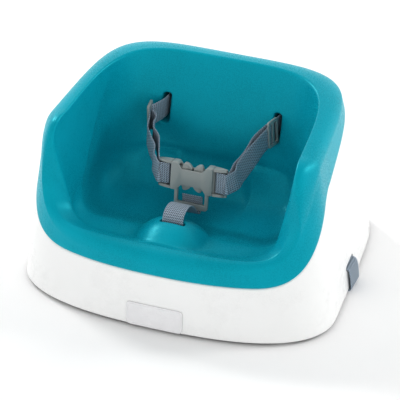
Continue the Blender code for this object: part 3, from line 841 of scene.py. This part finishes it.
def make_base():
    outer = []
    inner = []
    low, high = EDGE_ROUND
    for turn in np.linspace(-math.pi / 2, 0, 4):
        z = BASE_BOTTOM + low * (1 + math.sin(turn))
        outer.append(at(ANGLES, base_plan(z, low * (1 - math.cos(turn))), z))
    for share in np.linspace(0, 1, 15)[1:]:
        z = BASE_BOTTOM + low + (EDGE_Z - high - BASE_BOTTOM - low) * share
        outer.append(at(ANGLES, base_plan(z), z))
    for turn in np.linspace(0, math.pi / 2, 6)[1:]:
        z = EDGE_Z - high * (1 - math.sin(turn))
        outer.append(at(ANGLES, base_plan(z, high * (1 - math.cos(turn))), z))
    for share in (0.0, 0.15, 0.3, 0.45, 0.6, 0.75, 0.9, 1.0):
        z = BASE_BOTTOM + (EDGE_Z - WALL - BASE_BOTTOM) * share
        inner.append(at(ANGLES, base_plan(z, WALL), z))
    z = EDGE_Z - WALL
    inner.append(at(ANGLES, base_plan(z, LEDGE - WALL - 0.0015), z))
    outer += basin_rows(0.0, 0.0)
    inner += basin_rows(WALL, -WALL)[1:]
    mesh = closed_grid("base_cover", outer, inner, (DECK_Z, DECK_Z - WALL))
    base = add_object("base_cover", mesh, LOOKS["white"])
    wider, low, high = BOSS
    for x, y, _ in foot_places():
        boss = slab_mesh(ring_outline(FOOT_RADIUS + wider, 40, (x, y)), low, high, 2)
        with_boolean(base, boss, "UNION")
    for side in (1, -1):
        spots = rectangle((CHAIR_WEB + 0.004) / 2, 0.003, 0.0028, (CHAIR_SLOT.y, CHAIR_SLOT.z))
        slot = slab_mesh(spots, side * CHAIR_SLOT.x - 0.015, side * CHAIR_SLOT.x + 0.015, 0)
        with_boolean(base, slot, "DIFFERENCE")
    shade(base.data, 50)
    stand_for(base, "base_shell", "base")


def ring_outline(radius, count, centre=(0, 0)):
    turns = np.arange(count) * 2 * math.pi / count
    return [(centre[0] + radius * math.cos(t), centre[1] + radius * math.sin(t)) for t in turns]


def lathe_mesh(profile, count=48):
    """A closed profile of radius and height turned round the Z axis."""

    def build(work):
        rings = []
        for r, z in profile:
            if r == 0:
                rings.append([work.verts.new((0, 0, z))])
            else:
                rings.append([work.verts.new((u, v, z)) for u, v in ring_outline(r, count)])
        for one, two in zip(rings, rings[1:]):
            for k in range(count):
                j = (k + 1) % count
                spots = [one[k % len(one)], one[j % len(one)], two[j % len(two)], two[k % len(two)]]
                spots = [s for i, s in enumerate(spots) if s not in spots[:i]]
                work.faces.new(spots)

    return mesh_from(build)


def make_feet():
    r = FOOT_RADIUS
    profile = [(0, 0.0004), (r - 0.006, 0.0004), (r - 0.0055, 0), (r - 0.0022, 0), (r - 0.0015, 0.0005)]
    profile += [(r - 0.0008, 0.0020), (r, 0.0052), (r - 0.0004, 0.0060), (r - 0.001, 0.0062), (0, 0.0062)]
    for name, spot in zip(FOOT_NAMES, foot_places()):
        foot = add_object("rubber_foot_" + name, lathe_mesh(profile), LOOKS["rubber"])
        foot.location = (spot[0], spot[1], 0)
        stand_for(foot, "foot_" + name, "base")


def front_y(x, z):
    """Where the base's front surface lies at this x and height."""
    half, front, _, power, _ = base_plan(z)
    y = -front
    for _ in range(12):
        wide = min(abs(x) / (1 - PLAN_TAPER * y) / half, 0.999)
        y = -front * (1 - wide**power) ** (1 / power)
    return y + SHAPE_Y


def make_badge():
    """A blank plate with a raised rounded border, lying on the front of the base."""
    half_x, half_z, middle = BADGE
    levels = [(0.0, 0.0), (0.0, 0.7), (0.0004, 1.0), (0.0014, 1.0), (0.0020, 0.55), (0.0030, 0.5)]
    field = levels[-1][1]
    count = 96

    def on_front(x, z, height):
        return x, front_y(x, middle + z) - GAP - BADGE_THICK * height, middle + z

    rings = []
    for inset, height in levels:
        spots = resample(rectangle(half_x - inset, half_z - inset, BADGE_CORNER, steps=12), count)
        rings.append([on_front(x, z, height) for x, z in spots])
    for share in (0.8, 0.6, 0.4, 0.2):
        rings.append([on_front(x * share, z * share, field) for x, z in spots])
    badge = add_object("blank_plate", ring_mesh(rings), LOOKS["badge"])
    stand_for(badge, "front_badge", "base")


def resample(spots, count):
    loop = np.array(list(spots) + [spots[0]])
    run = np.concatenate([[0], np.cumsum(np.hypot(*np.diff(loop, axis=0).T))])
    wanted = np.arange(count) * run[-1] / count
    return [(float(np.interp(w, run, loop[:, 0])), float(np.interp(w, run, loop[:, 1]))) for w in wanted]


# ===== Buckles
BIG_ROUND = 0.0009
SMALL_ROUND = 0.0006
HOUSE = (0.0252, 0.00625, 0.0168)
NOTCH_LOW = (0.0124, 0.0097)
NOTCH_HIGH = (0.0180, 0.0168)
TUNNEL = (0.0036, 0.0143)
TUNNEL_OPEN = 0.03
TUNNEL_STOP = 0.010
RAIL = (0.0137, 0.0168)
BAR = (0.0302, 0.0340, 0.0015)
FRAME_END = 0.0417
END_BAR = (0.0030, 0.0022)
END_BAR_X = FRAME_END - 0.0022
PLATE_X = (0.0256, 0.0266)
RING = (0.0186, 0.0020, -0.0379, -0.0310)
RING_Y = -0.0020
RING_TOP = -0.013
HOLE_TOP = -0.005
RING_HALF_THICK = 0.0019
NECK = (0.0046, 0.0062, 0.0270)
NECK_X = 0.0238
TONGUE = (0.0200, 0.0030, 0.0060)
TONGUE_X = 0.0130
ARM_ROOT = (0.0225, 0.0096)
ARM_HALF_THICK = 0.0029


def local_frame(place, tilt):
    return Matrix.Translation(place) @ Matrix.Rotation(tilt, 4, "X")


def house_outline():
    """The housing from in front, waisted above and below where the squeeze tabs stand."""
    half_x, _, half_z = HOUSE
    quarter = [(half_x, half_z), NOTCH_HIGH, NOTCH_LOW]
    top = quarter + [(-x, z) for x, z in quarter[::-1]]
    return rounded_outline(top + [(-x, -z) for x, z in top], 0.0016, 4)


def wings(side, low_x):
    """The two tapered rails of a web frame, above and below the webbing."""
    taper = [(low_x, 0.0050), (0.0330, 0.0040), (0.0395, 0.0024), (FRAME_END, 0.0006)]
    spots = [(side * u, -v) for u, v in taper] + [(side * u, v) for u, v in taper[::-1]]
    return [slab_mesh(spots, RAIL[0], RAIL[1], 2), slab_mesh(spots, -RAIL[1], -RAIL[0], 2)]


def cross_bars(side):
    """The bar that the webbing turns round, and the thin bar that closes the frame's end."""
    low, high, half_y = BAR
    span = 2 * RAIL[0] + 0.002
    near = box_mesh((high - low, 2 * half_y, span), (side * (low + high) / 2, 0, 0))
    far = box_mesh((*END_BAR, span), (side * END_BAR_X, 0, 0))
    return [near, far]


def hoop_mesh():
    """The flat loop under the harness buckle that the crotch webbing runs through."""
    half, bar, bottom, top_of_bar = RING
    spots = rectangle(half + bar, (RING_TOP - bottom) / 2, 0.0045, (0, (RING_TOP + bottom) / 2), 7)
    hole = rectangle(half - bar, (HOLE_TOP - top_of_bar) / 2, 0.0012, (0, (HOLE_TOP + top_of_bar) / 2), 4)
    solid = slab_mesh(spots, RING_Y - RING_HALF_THICK, RING_Y + RING_HALF_THICK, 1)
    cut = slab_mesh(hole, RING_Y - 0.01, RING_Y + 0.01, 1)
    hoop = moulded("hoop", [solid], [cut], BIG_ROUND)
    inside_house = box_mesh((0.06, 0.02, 0.0128), (0, 0, -0.0084))
    with_boolean(hoop, inside_house, "DIFFERENCE")
    mesh = hoop.data
    bpy.data.objects.remove(hoop)
    return mesh


def make_house(name, node, body, place, ends, ring=False):
    """ends says on which sides the tunnel opens; a closed end carries its own web frame."""
    half_x, half_y, _ = HOUSE
    solids = [slab_mesh(house_outline(), -half_y, half_y, 1)]
    low, high = [TUNNEL_OPEN if side in ends else TUNNEL_STOP for side in (-1, 1)]
    cuts = [box_mesh((high + low, 2 * TUNNEL[0], 2 * TUNNEL[1]), ((high - low) / 2, 0, 0))]
    made = moulded(name, solids, cuts, BIG_ROUND)
    extra = []
    for side in (1, -1):
        if side not in ends:
            extra += wings(side, half_x - 0.001) + cross_bars(side)
    if ring:
        extra.append(hoop_mesh())
    join_into(made, extra)
    made.data.transform(place)
    stand_for(made, node, body)


def join_into(made, meshes):
    """Adds meshes to the object as they are."""
    work = bmesh.new()
    work.from_mesh(made.data)
    for mesh in meshes:
        work.from_mesh(mesh)
    work.to_mesh(made.data)
    work.free()
    shade(made.data, 50)


def make_clip(name, node, body, place, side):
    """A clip's plate, neck and tongue with its web frame."""
    low, high = PLATE_X
    plate = box_mesh((high - low, 0.0056, 2 * RAIL[1]), (side * (low + high) / 2, 0, 0))
    neck = box_mesh(NECK, (side * NECK_X, 0, 0))
    tongue = box_mesh(TONGUE, (side * TONGUE_X, 0, 0))
    solids = [plate, neck, tongue] + wings(side, low) + cross_bars(side)
    clip = moulded(name, solids, (), SMALL_ROUND, 2, place)
    stand_for(clip, node, body)


def make_arm(name, node, body, place, side, up):
    """A sprung arm: a thin beam from the root, ending in a smoothly humped squeeze tab."""
    beam = [(0, -0.0013), (0.0205, -0.0013), (0.0212, -0.0006)]
    hump = [(0.0214, 0.0008), (0.0206, 0.0026), (0.0190, 0.0045), (0.0170, 0.0060), (0.0150, 0.0069)]
    hump += [(0.0130, 0.0071), (0.0116, 0.0064), (0.0106, 0.0046), (0.0101, 0.0026), (0.0092, 0.0013)]
    path, _ = curve_through([(u, v, 0) for u, v in hump], 34)
    spots = beam + [(u, v) for u, v, _ in path] + [(0, 0.0013)]
    root_x, root_z = ARM_ROOT
    profile = [(side * (root_x - u), up * (root_z + v)) for u, v in spots]
    solid = slab_mesh(profile, -ARM_HALF_THICK, ARM_HALF_THICK, 1)
    arm = moulded(name, [solid], (), SMALL_ROUND, 2, place)
    stand_for(arm, node, body)


def make_buckles():
    place = local_frame(BUCKLE, BUCKLE_TILT)
    make_house("harness_buckle", "buckle_body", "seat", place, (1, -1), ring=True)
    for side, name in SIDES:
        make_clip("harness_clip_" + name, "buckle_clip_" + name, "clip_" + name, place, side)
        for up, level in ((1, "upper"), (-1, "lower")):
            which = name + "_" + level
            make_arm("squeeze_tab_" + which, "squeeze_arm_" + which, "arm_" + which, place, side, up)
    place = local_frame(CHAIR_BUCKLE, -math.pi / 2)
    make_house("strap_socket", "chair_socket", "base", place, (1,))
    make_clip("strap_clip", "chair_clip", "chair_clip", place, 1)
    make_arm("strap_tab_rear", "chair_arm_rear", "chair_arm_rear", place, 1, 1)
    make_arm("strap_tab_front", "chair_arm_front", "chair_arm_front", place, 1, -1)


# ===== Adjusters and anchors
GLIDE = (0.0095, 0.0015, 0.0172)
GLIDE_SLOT_X = 0.0041
GLIDE_RIGHT = (0.0672, 0.0480, 0.158)
GLIDE_RIGHT_TURN = math.radians(76)
GLIDE_LEFT = (-0.0795, 0.0350, 0.158)
GLIDE_LEFT_TURN = math.radians(-82)
SLIDER = (-0.135, CHAIR_SLOT.y, 0.0046)
PLATE_HALF = (0.008, 0.023)
PLATE_HOLE = (0.0021, 0.0135)
CHAIR_BAR = (0.0025, 0.017, 0.006)
CHAIR_BAR_X = 0.154


def make_glide(name, node, body, place):
    """A flat oblong adjuster with two slots for the webbing."""
    half_x, half_y, half_z = GLIDE
    solid = slab_mesh(rectangle(half_x, half_z, 0.0035, steps=7), -half_y, half_y, 1)
    cuts = []
    for x in (-GLIDE_SLOT_X, GLIDE_SLOT_X):
        slot = rectangle(0.0024, WEB_WIDTH / 2 + 0.0006, 0.0012, (x, 0))
        cuts.append(slab_mesh(slot, -0.01, 0.01, 1))
    glide = moulded(name, [solid], cuts, 0.0007, place=place)
    stand_for(glide, node, body)


def glide_matrix(spot, turn, lean=0.0):
    return Matrix.Translation(spot) @ Matrix.Rotation(turn, 4, "Z") @ Matrix.Rotation(lean, 4, "X")


def make_glides():
    right = glide_matrix(GLIDE_RIGHT, GLIDE_RIGHT_TURN, -0.05)
    make_glide("adjuster_right", "tri_glide_right", "seat", right)
    make_glide("adjuster_left", "tri_glide_left", "seat", glide_matrix(GLIDE_LEFT, GLIDE_LEFT_TURN))
    make_glide("strap_slider", "chair_slider", "base", glide_matrix(SLIDER, 0.0, math.pi / 2))


def make_plate(name, node, half, hole, axis, spot):
    """A thin plate behind or under the foam, square to its axis, with a hole for the webbing."""
    solid = slab_mesh(rectangle(*half, 0.003), -0.0015, 0.0015, axis)
    cut = slab_mesh(rectangle(*hole, 0.001), -0.01, 0.01, axis)
    plate = moulded(name, [solid], [cut], SMALL_ROUND, 2, Matrix.Translation(spot))
    stand_for(plate, node, "seat")


def make_anchors():
    for side, name in SIDES:
        spot = (side * WAIST_SLOT.x, WAIST_SLOT.y + 0.0215, WAIST_SLOT.z)
        make_plate("waist_plate_" + name, "waist_anchor_" + name, PLATE_HALF, PLATE_HOLE, 1, spot)
    spot = (0, CROTCH_SLOT.y, 0.0945)
    make_plate("crotch_plate", "crotch_anchor", PLATE_HALF[::-1], PLATE_HOLE[::-1], 2, spot)
    for side, name in SIDES:
        place = Matrix.Translation((side * CHAIR_BAR_X, CHAIR_SLOT.y, CHAIR_SLOT.z))
        half_x, half_y, half_z = CHAIR_BAR
        solid = slab_mesh(rectangle(half_x, half_z, 0.001), -half_y, half_y, 1)
        bar = moulded("strap_bar_" + name, [solid], (), SMALL_ROUND, 2, place)
        stand_for(bar, "chair_anchor_" + name, "base")


# ===== Webbing
def buckle_point(x, y):
    """A point in the middle plane of the harness buckle, in the part's frame."""
    return np.array(local_frame(BUCKLE, BUCKLE_TILT) @ Vector((x, y, 0.0)))


def around_bar(side):
    """Centre line of the webbing round the clip's bar, from the layer behind it to the layer in front."""
    spots = [(0.0420, 0.0027), (0.0380, 0.0027), (0.0340, 0.0026), (0.0302, 0.0025), (0.0286, 0.0017)]
    spots += [(0.0281, 0)] + [(x, -y) for x, y in spots[::-1]]
    return [buckle_point(side * x, y) for x, y in spots]


def offset_path(points, sides, amounts):
    """The path moved sideways, square to its own width, by the given amounts."""
    points = np.array(points, float)
    along = np.gradient(points, axis=0)
    face = np.cross(along, np.array(sides, float))
    face /= np.linalg.norm(face, axis=1, keepdims=True)
    return points + face * np.array(amounts)[:, None]


UP = (0, 0.2, 0.98)
LEAN = (0, 0.174, 0.985)


def make_waist_web(side, name, inside, centre, sides, layers):
    """Webbing from behind its slot to the clip, round the clip's bar and back.

    Its two layers are moved off one centre line, and it bends between start and the clip.
    """
    one, two = [offset_path(centre, sides, amounts) for amounts in layers]
    loop = around_bar(side)
    points = inside + list(one) + loop + list(two[::-1])
    every = [UP] * len(inside) + sides + [LEAN] * len(loop) + sides[::-1]
    web = webbing("waist_web_" + name, points, every, 260)
    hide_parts("waist_webbing_" + name)
    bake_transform(web)


def make_waist_right():
    """The adjuster sits in the slot, and two layers run from it to the clip."""
    inside = [(0.0685, 0.090, 0.160), (0.0685, 0.066, 0.159)]
    centre = [(0.0655, 0.052, 0.158), (0.063, 0.042, 0.156), (0.058, 0.024, 0.150), (0.053, 0.004, 0.142)]
    centre += [(0.0497, -0.012, 0.137), (0.0475, -0.024, 0.1332)]
    sides = [UP, UP, (-0.10, 0.1, 0.98), (-0.34, -0.1, 0.90), (-0.30, 0.0, 0.93), (-0.12, 0.1, 0.98)]
    rear = [0.0010, 0.0030, 0.0052, 0.0016, 0.0034, 0.0030]
    front = [-0.0010, -0.0016, -0.0014, -0.0006, -0.0012, -0.0026]
    make_waist_web(1, "right", inside, centre, sides, (rear, front))


def make_waist_left():
    """One layer runs from the slot to the adjuster, and two wavy layers from there to the clip."""
    inside = [(-0.0685, 0.090, 0.160), (-0.0685, 0.064, 0.159), (-0.0705, 0.052, 0.159)]
    inside += [(-0.0745, 0.042, 0.159)]
    centre = [(-0.0795, 0.034, 0.158), (-0.0755, 0.024, 0.154), (-0.0700, 0.012, 0.148)]
    centre += [(-0.0625, 0.000, 0.143), (-0.0560, -0.011, 0.139), (-0.0500, -0.022, 0.1345)]
    sides = [UP, UP, (0.05, 0.0, 1), (0.10, 0.0, 1), (0.08, 0.1, 1), LEAN]
    inner = [-0.0014, -0.0052, -0.0034, -0.0060, -0.0044, -0.0028]
    outer = [0.0014, 0.0010, 0.0034, 0.0030, 0.0014, 0.0026]
    make_waist_web(-1, "left", inside, centre, sides, (inner, outer))


def make_crotch_webbing():
    y = CROTCH_SLOT.y
    side_view = [(y, 0.086), (y, 0.100), (y + 0.0003, 0.1105), (y + 0.004, 0.1172), (-0.0855, 0.1205)]
    side_view += [(-0.076, 0.1198), (-0.0665, 0.1150), (-0.0585, 0.1070), (-0.0525, 0.0985)]
    side_view += [(-0.0475, 0.0930), (-0.0425, 0.0913), (-0.0380, 0.0935), (-0.0362, 0.0985)]
    side_view += [(-0.0358, 0.1045), (-0.0360, 0.1085)]
    points = [(0, u, v) for u, v in side_view]
    web = webbing("crotch_web", points, [(1, 0, 0)] * len(points), 150)
    stand_for(web, "crotch_webbing", "seat")


def make_chair_straps():
    y = CHAIR_SLOT.y
    z = CHAIR_SLOT.z
    front_view = [(0.1570, z), (0.168, z), (0.1765, z), (0.1808, z - 0.0022), (0.1828, 0.0225)]
    front_view += [(0.1838, 0.0130), (0.1844, 0.0062), (0.1824, 0.0020), (0.175, 0.0013), (0.160, 0.0013)]
    front_view += [(0.120, 0.0022), (0.080, 0.0095), (0.060, CHAIR_BUCKLE.z), (0.0432, CHAIR_BUCKLE.z)]
    for side, name in SIDES:
        path = [(side * u, y, v) for u, v in front_view]
        strap = webbing("chair_web_" + name, path, [(0, 1, 0)] * len(path), 180, CHAIR_WEB)
        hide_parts("chair_strap_" + name)
        if side == 1:
            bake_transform(strap)
        else:
            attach(strap, "base")


# ===== Studio
def make_floor():
    n = Nodes("studio_floor")
    place = n.add("ShaderNodeTexCoord").outputs["Object"]
    cloud = n.noise(place, 3.0)
    tone = n.mix(n.spread(cloud, 0, 1), (0.93, 0.93, 0.93, 1), (0.95, 0.95, 0.95, 1))
    n.finish(tone, 0.9, n.bump(cloud, 0.02, 0.001), 0.1)
    corners = [(u * FLOOR_HALF, v * FLOOR_HALF, 0) for u, v in SQUARE]
    mesh = bpy.data.meshes.new("floor")
    mesh.from_pydata(corners, [], [(0, 1, 2, 3)])
    mesh.materials.append(n.material)
    floor = bpy.data.objects.new("floor", mesh)
    bpy.context.scene.collection.objects.link(floor)


def make_sky():
    """White light from all round, stronger near the horizon than overhead."""
    world = bpy.data.worlds.new("studio")
    bpy.context.scene.world = world
    world.use_nodes = True
    nodes = world.node_tree.nodes
    links = world.node_tree.links
    direction = nodes.new("ShaderNodeTexCoord").outputs["Generated"]
    height = nodes.new("ShaderNodeSeparateXYZ")
    links.new(direction, height.inputs[0])
    fade = nodes.new("ShaderNodeMapRange")
    links.new(height.outputs["Z"], fade.inputs["Value"])
    fade.inputs["To Min"].default_value = SKY_HORIZON
    fade.inputs["To Max"].default_value = SKY_TOP
    links.new(fade.outputs["Result"], nodes["Background"].inputs["Strength"])
    nodes["Background"].inputs["Color"].default_value = (1, 1, 1, 1)


def make_lamps():
    for name, spot, power in LAMPS:
        data = bpy.data.lights.new(name, "AREA")
        data.size = LAMP_SIDE
        data.energy = power
        lamp = bpy.data.objects.new(name, data)
        bpy.context.scene.collection.objects.link(lamp)
        lamp.location = spot
        lamp.rotation_euler = (LAMP_AIM - spot).to_track_quat("-Z", "Y").to_euler()


def make_camera():
    azimuth = CAMERA_AZIMUTH
    level = math.cos(CAMERA_ELEVATION)
    back = Vector((math.sin(azimuth) * level, -math.cos(azimuth) * level, math.sin(CAMERA_ELEVATION)))
    right = Vector((math.cos(azimuth), math.sin(azimuth), 0))
    up = back.cross(right)
    x_axis = math.cos(CAMERA_ROLL) * right + math.sin(CAMERA_ROLL) * up
    y_axis = -math.sin(CAMERA_ROLL) * right + math.cos(CAMERA_ROLL) * up
    data = bpy.data.cameras.new("camera")
    data.sensor_width = SENSOR_WIDTH
    data.lens = FOCAL_LENGTH
    data.clip_start = 0.1
    data.clip_end = 100.0
    camera = bpy.data.objects.new("camera", data)
    bpy.context.scene.collection.objects.link(camera)
    turn = Matrix((x_axis, y_axis, back)).transposed().to_4x4()
    camera.matrix_world = Matrix.Translation(CAMERA_TARGET + back * CAMERA_DISTANCE) @ turn
    bpy.context.scene.camera = camera


make_floor()
make_sky()
make_lamps()
make_camera()
make_base()
make_feet()
make_badge()
make_seat()
make_anchors()
make_glides()
make_buckles()
make_waist_right()
make_waist_left()
make_crotch_webbing()
make_chair_straps()

bpy.context.scene.view_settings.view_transform = "Standard"
bpy.context.scene.view_settings.gamma = CONTRAST
